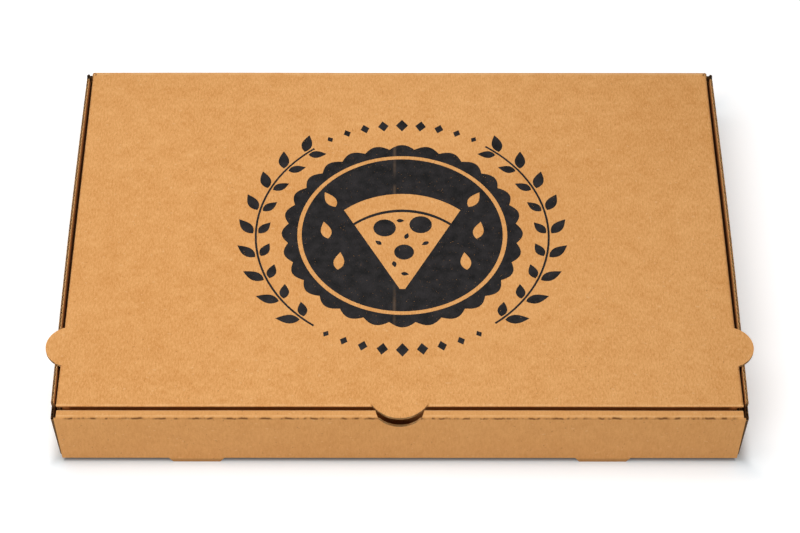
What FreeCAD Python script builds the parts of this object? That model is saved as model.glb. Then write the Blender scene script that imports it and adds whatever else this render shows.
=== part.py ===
import FreeCAD, Part
import math
import os
import Sketcher
from FreeCAD import Placement, Rotation, Vector

# Pizza box folded from one sheet of corrugated board, closed.
# Millimetres, +Z up, the front faces -Y, the origin lies under the middle of the box
# at the level of the two feet.  The sheet is one piece; the tray and the lid are the
# two halves that turn about the crease along the top of the back wall.

os.makedirs("parts", exist_ok=True)
doc = FreeCAD.newDocument("pizza_box")

# Driving dimensions
dims = doc.addObject("Spreadsheet::Sheet", "dims")
SIZES = {
    "board": 1.5,            # thickness of the corrugated board
    "lay_gap": 0.3,          # clearance between layers of board that lie together
    "hinge_slit": 0.2,       # slit between tray and lid along the hinge crease
    "tray_width": 394.0,     # over the side walls at the floor
    "tray_depth": 276.5,     # from the front wall to the back wall
    "box_height": 40.0,      # from the underside of the floor to the top of the lid
    "foot_drop": 2.7,        # how far the feet stand below the floor
    "wall_splay": 3.0,       # how far the top of a side wall leans out
    "wall_bow": 1.1,         # how far the rim of a side wall bulges between its ends
    "edge_inset": 0.9,       # front and back wall edge to the side wall's face, at the floor
    "edge_taper": 1.3,       # how much more that is at the top of the box
    "roll_inset": 3.2,       # edge of the rolled-over layers to the same face
    "rim_depth": 5.8,        # thickness of the rolled-over front wall
    "front_gap": 2.4,        # rolled-over front wall to the lid
    "shoulder_run": 3.6,     # start of the side wall's shoulder behind the lid's front
    "shoulder_drop": 3.0,    # how far the shoulder and the corner flaps stay below the rim
    "front_flap": 62.0,      # length of a front corner flap
    "rear_flap": 58.0,       # length of a rear corner flap
    "flap_slant": 6.0,       # how much shorter a corner flap is at its top
    "notch_radius": 13.6,    # finger hole cut through the rolled-over front wall
    "notch_back": 0.4,       # its centre behind the inner crease of the rim
    "foot_place": 118.2,     # middle of a foot from the middle of the box
    "foot_width": 31.2,      # at the floor
    "foot_taper": 1.0,       # how much each side of a foot comes in at the bottom
    "foot_corner": 0.8,      # its cut corners
    "lock_gap": 1.2,         # play of a locking tab at each end of its slot
    "lock_drop": 1.0,        # how far a locking tab comes through the floor
    "lid_width": 394.0,      # over the side folds of the lid
    "lid_flap": 28.0,        # height of the lid's front tuck flap
    "tuck_lean": 4.0,        # how far it leans in at its lower edge
    "side_flap": 26.0,       # height of the lid's side flaps
    "flap_lean": 1.0,        # how far a side flap leans in at its lower edge
    "flap_start": 2.0,       # side folds of the lid behind its front
    "flap_end": 1.8,         # side folds of the lid before the hinge crease
    "flap_corner": 12.0,     # slanted corners of the lid's flaps
    "tab_half": 15.0,        # half the width of the front thumb tab at the lid's front
    "tab_reach": 7.4,        # how far the tab stands out of the lid
    "ear_radius": 16.0,      # side thumb tabs
    "ear_reach": 9.7,        # how far they stand out of the lid
    "ear_setback": 43.8,     # their middle behind the front of the lid
}
for row, (alias, size) in enumerate(SIZES.items(), start=1):
    dims.set(f"A{row}", alias)
    dims.set(f"B{row}", str(size))
    dims.setAlias(f"B{row}", alias)
doc.recompute()

# Levels and faces that several pieces share, as expressions of the sheet
FRONT = "(-dims.tray_depth / 2)"
BACK = "(dims.tray_depth / 2)"
UNDER = "dims.foot_drop"
FLOOR = "(dims.foot_drop + dims.board)"
TOP = "(dims.foot_drop + dims.box_height)"
RIM = "(dims.foot_drop + dims.box_height - dims.board)"
ROLL = f"({FRONT} + dims.rim_depth)"
LID_FRONT = f"({ROLL} + dims.front_gap)"
SIDE_IN = "(dims.tray_width / 2 - dims.board)"
SIDE_OUT = "(dims.tray_width / 2)"
LID_SIDE = "(dims.lid_width / 2)"
SLACK = "(dims.lay_gap / 2)"
BEYOND = 5.0     # how far a cutting body reaches past what it cuts
STUB = 3.0       # start of the next panel, cut away again at the hinge crease
ROOTED = 2.0     # how far walls and tabs that rise from the floor run into each other

# A view is the plane of a sketch: the turn of the sketch and its outward axis
VIEWS = {
    "plan": (Rotation(), Vector(0, 0, 1)),
    "front": (Rotation(Vector(1, 0, 0), 90), Vector(0, 1, 0)),
    "side": (Rotation(Vector(1, 1, 1), 120), Vector(1, 0, 0)),
}


def value(expression):
    """The present value of an expression of the sheet."""
    result = dims.evalExpression(str(expression))
    return float(getattr(result, "Value", result))


def pin_point(sketch, geo, pos, point, label):
    """Tie a sketch point to the sheet by its two distances from the origin."""
    for kind, axis in (("DistanceX", 0), ("DistanceY", 1)):
        number = sketch.addConstraint(
            Sketcher.Constraint(kind, -1, 1, geo, pos, value(point[axis])))
        name = f"{label}_{'xy'[axis]}"
        sketch.renameConstraint(number, name)
        sketch.setExpression(f"Constraints.{name}", str(point[axis]))


def path(name, view, points, closed=False, bows=None):
    """A sketch of straight runs through points; bows turns a run into a shallow arc.

    bows maps the number of a run to the expression of its rise, to the left of
    the run's direction.
    """
    sketch = doc.addObject("Sketcher::SketchObject", name)
    sketch.Placement = Placement(Vector(), VIEWS[view][0])
    spots = [Vector(value(x), value(y), 0) for x, y in points]
    runs = len(points) if closed else len(points) - 1
    for run in range(runs):
        start = spots[run]
        end = spots[(run + 1) % len(spots)]
        if bows and run in bows:
            along = end - start
            side = Vector(-along.y, along.x, 0).normalize()
            crown = (start + end) * 0.5 + side * value(bows[run])
            geo = sketch.addGeometry(Part.Arc(end, crown, start))
            ends = (2, 1)
        else:
            geo = sketch.addGeometry(Part.LineSegment(start, end))
            ends = (1, 2)
        if run:
            sketch.addConstraint(Sketcher.Constraint("Coincident", geo, ends[0], *last))
        else:
            opening = (geo, ends[0])
            pin_point(sketch, geo, ends[0], points[0], "p0")
        last = (geo, ends[1])
        if closed and run == runs - 1:
            sketch.addConstraint(Sketcher.Constraint("Coincident", *last, *opening))
        else:
            pin_point(sketch, *last, points[run + 1], f"p{run + 1}")
        if bows and run in bows:
            (x1, y1), (x2, y2) = points[run], points[(run + 1) % len(points)]
            chord = f"((({x1}) - ({x2}))^2 + (({y1}) - ({y2}))^2)"
            radius = f"({chord} / (8 * {bows[run]}) + {bows[run]} / 2)"
            number = sketch.addConstraint(Sketcher.Constraint("Radius", geo, value(radius)))
            sketch.renameConstraint(number, f"bow{run}")
            sketch.setExpression(f"Constraints.bow{run}", radius)
    return sketch


def folded(name, view, points, bows=None, outward=1):
    """The section of the board along a folded line.

    The line is the inner face of the fold; the board lies outside it, and its
    outer face goes round each crease in an arc.
    """
    line = path(f"{name}_line", view, points, bows=bows)
    section = doc.addObject("Part::Offset2D", f"{name}_section")
    section.Source = line
    section.Mode = "Skin"
    section.Join = "Arc"
    section.Fill = True
    section.setExpression("Value", f"{outward} * dims.board")
    return section


def drawn_out(name, view, base, low, high):
    """A profile drawn out along its view's axis from low to high."""
    solid = doc.addObject("Part::Extrusion", name)
    solid.Base = base
    solid.DirMode = "Custom"
    solid.Dir = VIEWS[view][1]
    solid.Solid = True
    solid.setExpression("LengthFwd", str(high))
    solid.setExpression("LengthRev", f"-({low})")
    return solid


def prism(name, view, points, low, high):
    return drawn_out(name, view, path(f"{name}_outline", view, points, closed=True), low, high)


def mirrored_points(points):
    """Half an outline, completed by its mirror image about the middle."""
    return points + [(f"-({x})", y) for x, y in reversed(points)]


def disc(name, view, radius, centre, low, high):
    """A round body along a view's axis; centre is given in the view's own plane."""
    solid = doc.addObject("Part::Cylinder", name)
    turn = {"plan": Rotation(), "front": Rotation(Vector(1, 0, 0), -90),
            "side": Rotation(Vector(0, 1, 0), 90)}[view]
    solid.Placement = Placement(Vector(), turn)
    places = {"plan": (centre[0], centre[1], low), "front": (centre[0], low, centre[1]),
              "side": (low, centre[0], centre[1])}[view]
    for axis, place in zip("xyz", places):
        solid.setExpression(f"Placement.Base.{axis}", place)
    solid.setExpression("Radius", radius)
    solid.setExpression("Height", f"({high}) - ({low})")
    return solid


def block(name, low, high):
    """A square-edged cutting or filling body between two corners."""
    solid = doc.addObject("Part::Box", name)
    for axis, side, start, end in zip("xyz", ("Length", "Width", "Height"), low, high):
        solid.setExpression(f"Placement.Base.{axis}", str(start))
        solid.setExpression(side, f"({end}) - ({start})")
    return solid


def mirror_image(name, source):
    """The same body on the other side of the middle plane."""
    copy = doc.addObject("Part::Mirroring", name)
    copy.Source = source
    copy.Base = Vector(0, 0, 0)
    copy.Normal = Vector(1, 0, 0)
    return copy


def both_sides(name, source):
    return [source, mirror_image(f"{name}_left", source)]


def joined(name, shapes):
    solid = doc.addObject("Part::MultiFuse", name)
    solid.Shapes = shapes
    solid.Refine = True
    return solid


def common(name, base, tool):
    solid = doc.addObject("Part::Common", name)
    solid.Base = base
    solid.Tool = tool
    return solid


def cut(name, base, tool):
    solid = doc.addObject("Part::Cut", name)
    solid.Base = base
    solid.Tool = tool
    return solid


DIAGONAL = math.sqrt(0.5)     # share of a 45 degree slant along each axis


def hinge_half(name, side):
    """The body that takes away one half of the bend, and the slit, at the hinge crease.

    side is +1 for the lid's half of the bend and -1 for the tray's half.
    """
    half_width = f"({SIDE_OUT} + dims.wall_splay + {BEYOND})"
    size = 4 * BEYOND
    solid = doc.addObject("Part::Box", name)
    solid.Placement = Placement(Vector(), Rotation(Vector(1, 0, 0), 45))
    solid.setExpression("Length", f"2 * {half_width}")
    solid.Width = size
    solid.Height = size
    # The box's own Y runs out along the slit, from inside the inner corner, and its
    # own Z stands square to the slit, towards the lid.
    away = "(-dims.hinge_slit / 2)" if side > 0 else f"(dims.hinge_slit / 2 - {size})"
    solid.setExpression("Placement.Base.x", f"-{half_width}")
    solid.setExpression("Placement.Base.y",
                        f"{BACK} - dims.board - {DIAGONAL} * ({BEYOND} + {away})")
    solid.setExpression("Placement.Base.z", f"{RIM} - {DIAGONAL} * ({BEYOND} - {away})")
    return solid


# The tray's front-to-back strip: inner front panel, rim, front wall, floor, back wall.
# It is one folded line, drawn out across the box and then cut to each panel's outline.
strip_section = folded("tray_strip", "side", [
    (f"{ROLL} - dims.board", f"{FLOOR} + dims.lay_gap"),
    (f"{ROLL} - dims.board", RIM),
    (f"{FRONT} + dims.board", RIM),
    (f"{FRONT} + dims.board", FLOOR),
    (f"{BACK} - dims.board", FLOOR),
    (f"{BACK} - dims.board", RIM),
    (f"{BACK} - dims.board - {STUB}", RIM),
])
strip = drawn_out("tray_strip", "side", strip_section, f"-{SIDE_OUT} - {BEYOND}",
                  f"{SIDE_OUT} + {BEYOND}")


def panel_outline(name, inset, top_inset, low, high):
    """A standing panel whose edges follow the lean of the side walls."""
    foot_half = f"{SIDE_OUT} - {inset}"
    top_half = f"{SIDE_OUT} + dims.wall_splay - ({top_inset})"
    return prism(name, "front", mirrored_points([
        (foot_half, f"{UNDER} - {BEYOND}"),
        (foot_half, FLOOR),
        (top_half, TOP),
        (top_half, f"{TOP} + {BEYOND}"),
    ]), low, high)


EDGE_INSETS = ("dims.edge_inset", "dims.edge_inset + dims.edge_taper")
outlines = joined("tray_outlines", [
    panel_outline("front_wall_outline", *EDGE_INSETS, f"{FRONT} - {BEYOND}",
                  f"{FRONT} + dims.board + {SLACK}"),
    common("roll_outline", panel_outline("roll_over_outline", "dims.roll_inset",
                                         "dims.roll_inset",
                                         f"{FRONT} + dims.board + {SLACK}",
                                         f"{ROLL} + {SLACK}"),
           block("above_floor", (f"-{SIDE_OUT} - {BEYOND}", FRONT, f"{FLOOR} + {SLACK}"),
                 (f"{SIDE_OUT} + {BEYOND}", BACK, f"{TOP} + {BEYOND}"))),
    block("floor_outline", (f"-{SIDE_IN}", f"{FRONT} + dims.board + {SLACK}",
                            f"{UNDER} - {BEYOND}"),
          (SIDE_IN, f"{BACK} - dims.board - {SLACK}", f"{FLOOR} + {SLACK}")),
    panel_outline("back_wall_outline", *EDGE_INSETS,
                  f"{BACK} - dims.board - {SLACK}", f"{BACK} + {BEYOND}"),
])
strip_cut = common("tray_strip_cut", strip, outlines)

# The floor's side creases: the floor with its edges turned up into the side walls
FLAP_FRONT = f"({FRONT} + 2 * dims.board + dims.lay_gap)"
FLAP_BACK = f"({BACK} - 2 * dims.board - dims.lay_gap)"
floor_section = folded("floor_folds", "front", [
    (f"-{SIDE_IN}", f"{FLOOR} + {ROOTED}"),
    (f"-{SIDE_IN}", FLOOR),
    (SIDE_IN, FLOOR),
    (SIDE_IN, f"{FLOOR} + {ROOTED}"),
], outward=-1)
floor_folds = drawn_out("floor_folds", "front", floor_section, FLAP_FRONT, FLAP_BACK)


def wall_line(name, level, lean, bow):
    """A side wall with its two corner flaps in plan: one folded line at a level."""
    inner = f"({SIDE_IN} + {lean})"
    section = folded(name, "plan", [
        (f"{inner} - dims.rear_flap", FLAP_BACK),
        (inner, FLAP_BACK),
        (inner, FLAP_FRONT),
        (f"{inner} - dims.front_flap", FLAP_FRONT),
    ], bows={1: bow} if bow else None, outward=-1)
    line = section.Source
    line.setExpression("Placement.Base.z", level)
    return section


# A side wall is lofted between its line at the floor and its bowed line at the rim
side_wall = doc.addObject("Part::Loft", "side_wall_raw")
side_wall.Sections = [wall_line("wall_foot", FLOOR, "0", None),
                      wall_line("wall_rim", RIM, "dims.wall_splay", "dims.wall_bow")]
side_wall.Solid = True
side_wall.Ruled = True


def flap_slant(name, length, low, high):
    """Takes the slanted free end off a corner flap."""
    end = f"({SIDE_IN} - {length})"
    return prism(name, "front", [
        ("0", f"{FLOOR} - {BEYOND}"),
        (end, f"{FLOOR} - {BEYOND}"),
        (end, FLOOR),
        (f"{end} + dims.flap_slant", RIM),
        (f"{end} + dims.flap_slant", f"{TOP} + {BEYOND}"),
        ("0", f"{TOP} + {BEYOND}"),
    ], low, high)


trims = joined("side_wall_trims", [
    block("shoulder_cut", ("0", f"{FRONT} - {BEYOND}", f"{RIM} - dims.shoulder_drop"),
          (f"{SIDE_OUT} + {BEYOND}", f"{LID_FRONT} + dims.shoulder_run", TOP)),
    block("rear_flap_cut", ("0", FLAP_BACK, f"{RIM} - dims.shoulder_drop"),
          (f"{SIDE_IN} + dims.wall_splay", BACK, TOP)),
    block("front_flap_foot", ("0", f"{FRONT} - {BEYOND}", f"{FLOOR} - {BEYOND}"),
          (f"{SIDE_OUT} + {BEYOND}", FLAP_FRONT, f"{FLOOR} + dims.lay_gap")),
    block("rear_flap_foot", ("0", FLAP_BACK, f"{FLOOR} - {BEYOND}"),
          (f"{SIDE_OUT} + {BEYOND}", f"{BACK} + {BEYOND}", f"{FLOOR} + dims.lay_gap")),
    flap_slant("front_flap_slant", "dims.front_flap", FRONT, "0"),
    flap_slant("rear_flap_slant", "dims.rear_flap", "0", BACK),
])
wall = cut("side_wall", side_wall, trims)

# Feet: tongues of the front wall left standing when the slots behind them are cut
FOOT_LEFT = "(dims.foot_place - dims.foot_width / 2)"
FOOT_RIGHT = "(dims.foot_place + dims.foot_width / 2)"
foot = prism("foot", "front", [
    (FOOT_LEFT, FLOOR),
    (f"{FOOT_LEFT} + dims.foot_taper", "dims.foot_corner"),
    (f"{FOOT_LEFT} + dims.foot_taper + dims.foot_corner", "0"),
    (f"{FOOT_RIGHT} - dims.foot_taper - dims.foot_corner", "0"),
    (f"{FOOT_RIGHT} - dims.foot_taper", "dims.foot_corner"),
    (FOOT_RIGHT, FLOOR),
], FRONT, f"{FRONT} + dims.board")

# Locking tabs: the inner front panel goes through the slots with two tongues
LOCK_LEFT = f"({FOOT_LEFT} + dims.lock_gap)"
LOCK_RIGHT = f"({FOOT_RIGHT} - dims.lock_gap)"
lock = prism("lock", "front", [
    (LOCK_LEFT, f"{FLOOR} + {ROOTED}"),
    (LOCK_LEFT, UNDER),
    (f"{LOCK_LEFT} + dims.lock_gap", f"{UNDER} - dims.lock_drop"),
    (f"{LOCK_RIGHT} - dims.lock_gap", f"{UNDER} - dims.lock_drop"),
    (LOCK_RIGHT, UNDER),
    (LOCK_RIGHT, f"{FLOOR} + {ROOTED}"),
], f"{ROLL} - dims.board", ROLL)
slot = block("slot", (FOOT_LEFT, f"{FRONT} + dims.board", f"{UNDER} - {BEYOND}"),
             (FOOT_RIGHT, f"{ROLL} + dims.lay_gap", f"{FLOOR} + {SLACK}"))

# Finger hole: one round hole in the flat sheet, which the two rim creases fold into
# a part in the front wall, a part in the rim and a part in the inner panel
FOLD_CENTRE = "(dims.rim_depth + dims.notch_back)"
notch = joined("notch", [
    disc("notch_front", "front", "dims.notch_radius", ("0", f"{TOP} + {FOLD_CENTRE}"),
         f"{FRONT} - {BEYOND}", f"{FRONT} + dims.board + {SLACK}"),
    disc("notch_rim", "plan", "dims.notch_radius", ("0", f"{ROLL} + dims.notch_back"),
         f"{RIM} - {SLACK}", f"{TOP} + {BEYOND}"),
    disc("notch_inner", "front", "dims.notch_radius", ("0", f"{TOP} - dims.notch_back"),
         f"{ROLL} - dims.board - {SLACK}", f"{ROLL} + {BEYOND}"),
])

strip_slotted = cut("tray_strip_slotted", strip_cut, joined("strip_cutters", [
    notch, hinge_half("hinge_of_lid", 1)] + both_sides("slot", slot)))
floor_slotted = cut("floor_slotted", floor_folds,
                    joined("floor_cutters", both_sides("floor_slot", slot)))
tray = joined("tray", [strip_slotted, floor_slotted] + both_sides("wall", wall)
              + both_sides("foot", foot) + both_sides("lock", lock))

# The lid's front-to-back strip: hinge crease, top panel and front tuck flap
TUCK_BACK = f"({LID_FRONT} + dims.board + dims.tuck_lean)"
lid_section = folded("lid_strip", "side", [
    (f"{BACK} - dims.board", f"{RIM} - {STUB}"),
    (f"{BACK} - dims.board", RIM),
    (f"{LID_FRONT} + dims.board", RIM),
    (TUCK_BACK, f"{TOP} - dims.lid_flap"),
])
LID_IN = f"({LID_SIDE} - dims.board)"
lid_strip = drawn_out("lid_strip", "side", lid_section, f"-{LID_IN}", LID_IN)
TUCK_HALF = f"({LID_IN} - dims.flap_start)"
tuck_outline = prism("tuck_outline", "front", mirrored_points([
    (f"{TUCK_HALF} - dims.flap_corner", f"{TOP} - dims.lid_flap - {BEYOND}"),
    (f"{TUCK_HALF} - dims.flap_corner", f"{TOP} - dims.lid_flap"),
    (TUCK_HALF, f"{TOP} - dims.lid_flap + dims.flap_corner"),
    (TUCK_HALF, f"{TOP} + {BEYOND}"),
]), f"{LID_FRONT} - {BEYOND}", f"{TUCK_BACK} + {BEYOND}")
top_outline = block("top_outline", (f"-{LID_IN}", f"{LID_FRONT} + dims.board", RIM),
                    (LID_IN, BACK, TOP))
lid_top = common("lid_top", lid_strip, joined("lid_outlines", [tuck_outline, top_outline]))

# The tab is the piece of the tuck flap that stays in the plane of the lid.  It is a
# segment of a disc, and the window that it leaves in the flap is the same segment.
TAB_RADIUS = "((dims.tab_half^2 + dims.tab_reach^2) / (2 * dims.tab_reach))"
tab = disc("tab", "plan", TAB_RADIUS,
           ("0", f"{LID_FRONT} - dims.tab_reach + {TAB_RADIUS}"), RIM, TOP)
tab_window = disc("tab_window", "front", TAB_RADIUS,
                  ("0", f"{RIM} - dims.tab_reach + {TAB_RADIUS}"),
                  f"{LID_FRONT} - {BEYOND}", TUCK_BACK)
lid_top_cut = cut("lid_top_cut", lid_top,
                  joined("lid_cutters", [tab_window, hinge_half("hinge_of_tray", -1)]))

# Side folds of the lid, with flaps that lean in a little so that they enter the tray
side_section = folded("lid_sides", "front", [
    (f"-{LID_IN} + dims.flap_lean", f"{TOP} - dims.side_flap"),
    (f"-{LID_IN}", RIM),
    (LID_IN, RIM),
    (f"{LID_IN} - dims.flap_lean", f"{TOP} - dims.side_flap"),
])
lid_sides = drawn_out("lid_sides", "front", side_section,
                      f"{LID_FRONT} + dims.flap_start", f"{BACK} - dims.flap_end")
SIDE_START = f"({LID_FRONT} + dims.board + dims.flap_start)"
SIDE_END = f"({FLAP_BACK} - dims.flap_end)"
side_outline = joined("side_outline", [
    prism("side_flap_outline", "side", [
        (SIDE_START, TOP),
        (SIDE_START, f"{TOP} - dims.side_flap + dims.flap_corner"),
        (f"{SIDE_START} + dims.flap_corner", f"{TOP} - dims.side_flap - {BEYOND}"),
        (f"{SIDE_END} - dims.flap_corner", f"{TOP} - dims.side_flap - {BEYOND}"),
        (SIDE_END, f"{TOP} - dims.side_flap + dims.flap_corner"),
        (SIDE_END, TOP),
    ], f"-{LID_SIDE} - {BEYOND}", f"{LID_SIDE} + {BEYOND}"),
    block("side_fold_outline", (f"-{LID_SIDE} - {BEYOND}", FRONT, f"{RIM} - dims.board"),
          (f"{LID_SIDE} + {BEYOND}", BACK, f"{TOP} + {BEYOND}")),
])
ear_window = disc("ear_window", "side", "dims.ear_radius",
                  (f"{LID_FRONT} + dims.ear_setback",
                   f"{TOP} + dims.ear_radius - dims.ear_reach"),
                  f"{LID_IN} - dims.flap_lean", f"{LID_SIDE} + {BEYOND}")
ear = disc("ear", "plan", "dims.ear_radius",
           (f"{LID_SIDE} + dims.ear_reach - dims.ear_radius",
            f"{LID_FRONT} + dims.ear_setback"), RIM, TOP)
lid_sides_cut = cut("lid_sides_cut", common("lid_sides_outlined", lid_sides, side_outline),
                    joined("ear_windows", both_sides("ear_window", ear_window)))
lid = joined("lid", [lid_top_cut, lid_sides_cut, tab] + both_sides("ear", ear))

tray.Label = "tray"
lid.Label = "lid"
doc.recompute()

failed = [item.Name for item in doc.Objects if {"Invalid", "Error"} & set(item.State)]
if failed:
    raise RuntimeError(f"did not compute: {failed}")
for node in (tray, lid):
    shape = node.Shape
    if shape.isNull() or not shape.isValid() or len(shape.Solids) != 1:
        raise RuntimeError(f"{node.Label} is not one valid solid: {len(shape.Solids)}")
    box = shape.BoundBox
    print(node.Label, "volume", round(shape.Volume), "faces", len(shape.Faces),
          "box", [round(v, 2) for v in (box.XMin, box.XMax, box.YMin, box.YMax,
                                        box.ZMin, box.ZMax)])
    shape.exportStep(f"parts/{node.Label}.step")
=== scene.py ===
# %% [markdown]
# # A pizza box in corrugated board
# The box is one sheet of board: two smooth liners with a wavy layer glued between
# them. Two plain slabs would give its outline, but its cut edges show the flutes and
# its creases show the sheet bending. So the sheet is built here as the factory
# builds it: three layers laid flat, cut with a die, and then folded.

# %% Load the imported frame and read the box's levels from it
import math

import bmesh
import bpy
from mathutils import Matrix, Vector, noise


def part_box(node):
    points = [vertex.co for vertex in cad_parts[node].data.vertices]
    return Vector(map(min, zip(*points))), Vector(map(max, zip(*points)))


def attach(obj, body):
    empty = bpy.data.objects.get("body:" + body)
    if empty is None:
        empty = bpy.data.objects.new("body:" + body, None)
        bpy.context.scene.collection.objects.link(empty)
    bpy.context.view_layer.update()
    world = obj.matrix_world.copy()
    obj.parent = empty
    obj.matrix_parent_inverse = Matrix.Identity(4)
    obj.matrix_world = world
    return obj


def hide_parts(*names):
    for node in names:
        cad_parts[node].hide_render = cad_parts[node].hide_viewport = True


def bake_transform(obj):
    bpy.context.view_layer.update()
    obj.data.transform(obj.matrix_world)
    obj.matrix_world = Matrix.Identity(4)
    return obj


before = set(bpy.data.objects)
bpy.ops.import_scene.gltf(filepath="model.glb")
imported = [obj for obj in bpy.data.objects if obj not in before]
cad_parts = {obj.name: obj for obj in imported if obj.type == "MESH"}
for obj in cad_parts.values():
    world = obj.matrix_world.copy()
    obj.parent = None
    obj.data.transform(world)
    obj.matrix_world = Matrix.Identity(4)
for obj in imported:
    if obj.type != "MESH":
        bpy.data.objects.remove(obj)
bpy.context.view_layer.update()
MM = 0.001
tray_low, tray_high = (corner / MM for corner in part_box("tray"))
lid_low, lid_high = (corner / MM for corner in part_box("lid"))
print("tray from", tray_low, "to", tray_high)
print("lid from", lid_low, "to", lid_high)

# %% [markdown]
# ## Sizes
# Lengths are in millimetres until a mesh is finished. The levels come from the
# frame, and what the frame can't tell, such as the thickness of the board, is
# given here once.

# %% Sizes of the board and of its panels
BOARD = 1.5          # whole thickness
LINER = 0.24         # thickness of one liner
MEDIUM = 0.20        # thickness of the wavy layer
FLUTE = 3.3          # from one wave to the next
CREASE = math.pi / 2 * BOARD   # length of the outer liner round a quarter turn

SLACK = 0.3                    # between two panels that lie on each other
BESIDE = 1.0                   # flat board that stays with a crease

FOOT_DROP = 2.7                # how far the feet stand below the floor
UNDER = tray_low.z + FOOT_DROP # underside of the floor
FLOOR = UNDER + BOARD
TOP = lid_high.z
RIM = TOP - BOARD
FRONT = tray_low.y
BACK = tray_high.y
ROLL = FRONT + 6.2             # inner face of the rolled-over front wall
TAB_HALF = 15.0                # half the width of the thumb tab at its root
TAB_REACH = 7.4                # how far it stands out in front of the lid
TAB_RADIUS = (TAB_HALF ** 2 + TAB_REACH ** 2) / (2 * TAB_REACH)
EAR_REACH = 9.7                # how far an ear stands out beside the lid
EAR_RADIUS = 14.7
LID_FRONT = lid_low.y + TAB_REACH
LID_SIDE = lid_high.x - EAR_REACH
EAR_Y = LID_FRONT + 43.6
SIDE = 197.6                   # outer face of a side wall at the floor
SPLAY = 2.4                    # how far its top leans out
BOW = 0.8                      # how far its rim bulges between its ends
REAR_SPLAY = 0.8               # how much further out the rim's rear end leans
TUCK_LEAN = 4.0                # how far the lid's tuck flap leans in
TUCK_HEIGHT = 28.0             # from the lid's top to the edge of that flap
FLAP_HEIGHT = 26.0             # and to the edge of a side flap
print("lid front", round(LID_FRONT, 2), "lid side", round(LID_SIDE, 2))

# %% [markdown]
# ## From the flat sheet to the folded box
# A folded panel could be bent with a Simple Deform modifier, one crease at a time.
# A small class does it in one step: it walks along the strip, straight for each
# panel and round a quarter turn at each crease, so every layer of the board
# follows the same path at its own distance from the inner face.


# %% The path of a folded strip
class Fold:
    """Takes a place along the flat sheet to its place in the folded strip, seen end on.

    left is +1 where the strip turns left and -1 where it turns right. The sheet's
    outer face lies on the other side, at the distance called depth.
    """

    def __init__(self, start, heading, lengths, left):
        self.left = left
        self.runs = []
        corner = Vector(start)
        angle = math.radians(heading)
        place = 0.0
        for length in lengths:
            self.runs.append((place, place + length, corner.copy(), angle))
            corner += length * Vector((math.cos(angle), math.sin(angle)))
            place += length + CREASE
            angle += left * math.pi / 2

    def start(self, run):
        return self.runs[run][0]

    def end(self, run):
        return self.runs[run][1]

    def point(self, place, depth):
        run = next((r for r in self.runs if place <= r[1] + CREASE), self.runs[-1])
        begin, end, corner, angle = run
        along = Vector((math.cos(angle), math.sin(angle)))
        out = angle - self.left * math.pi / 2
        travel = place - begin
        if place > end and run is not self.runs[-1]:
            out += self.left * (place - end) / CREASE * math.pi / 2
            travel = end - begin
            depth = max(depth, 0.05)
        return corner + travel * along + depth * Vector((math.cos(out), math.sin(out)))


strip = Fold((ROLL - BOARD, FLOOR + SLACK), 90,
             [RIM - FLOOR - SLACK, ROLL - FRONT - 2 * BOARD, RIM - FLOOR,
              BACK - FRONT - 2 * BOARD, RIM - FLOOR, BACK - LID_FRONT - 2 * BOARD,
              RIM - TOP + TUCK_HEIGHT], 1)
INNER_PANEL, ROLLED_RIM, FRONT_WALL, FLOOR_PANEL, BACK_WALL, LID_PANEL, TUCK = range(7)
print("sheet from end to end", round(strip.end(TUCK), 1), "mm")

# %% [markdown]
# ## Layers and dies
# Each layer starts as a grid whose lines are moved close together where it will
# bend. The wavy layer gets eight lines to a flute. A die is a prism with the
# outline of a panel: a Boolean keeps what lies inside it and takes the holes
# out, just as a steel rule does. This happens in the flat sheet, where every
# cut is straight down.


# %% Grid lines, layers and dies
def lines(low, high, step):
    """Evenly spaced lines from low to high, no more than a step apart."""
    count = max(1, math.ceil((high - low) / step))
    return [low + (high - low) * i / count for i in range(count + 1)]


def merged(*groups):
    """The lines of several groups in order, each once."""
    found = []
    for value in sorted(v for group in groups for v in group):
        if not found or value - found[-1] > 1e-3:
            found.append(value)
    return found


def wave(place):
    return math.sin(2 * math.pi * place / FLUTE)


def layer(across, along, height, thickness):
    """One layer of the flat sheet as a closed mesh; height gives its underside."""
    bm = bmesh.new()
    made = bmesh.ops.create_grid(bm, x_segments=len(across) - 1,
                                 y_segments=len(along) - 1, size=1)
    for v in made["verts"]:
        x = across[round((v.co.x + 1) / 2 * (len(across) - 1))]
        y = along[round((v.co.y + 1) / 2 * (len(along) - 1))]
        v.co = (x, y, height(y))
    upper = bmesh.ops.extrude_face_region(bm, geom=bm.faces[:], use_keep_orig=True)
    raised = [item for item in upper["geom"] if isinstance(item, bmesh.types.BMVert)]
    bmesh.ops.translate(bm, verts=raised, vec=(0, 0, thickness))
    bmesh.ops.recalc_face_normals(bm, faces=bm.faces[:])
    return bm


def prism(outline, low=-3.0, high=5.0):
    """A die: an outline drawn up through the sheet."""
    bm = bmesh.new()
    face = bm.faces.new([bm.verts.new((x, y, low)) for x, y in outline])
    upper = bmesh.ops.extrude_face_region(bm, geom=[face], use_keep_orig=True)
    raised = [item for item in upper["geom"] if isinstance(item, bmesh.types.BMVert)]
    bmesh.ops.translate(bm, verts=raised, vec=(0, 0, high - low))
    bmesh.ops.recalc_face_normals(bm, faces=bm.faces[:])
    return bm


def add_mesh(bm, other):
    """Put a second bmesh into the first, and free it."""
    mesh = to_mesh("part", other)
    bm.from_mesh(mesh)
    bpy.data.meshes.remove(mesh)
    return bm


def to_mesh(name, bm):
    mesh = bpy.data.meshes.new(name)
    bm.to_mesh(mesh)
    bm.free()
    return mesh


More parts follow.
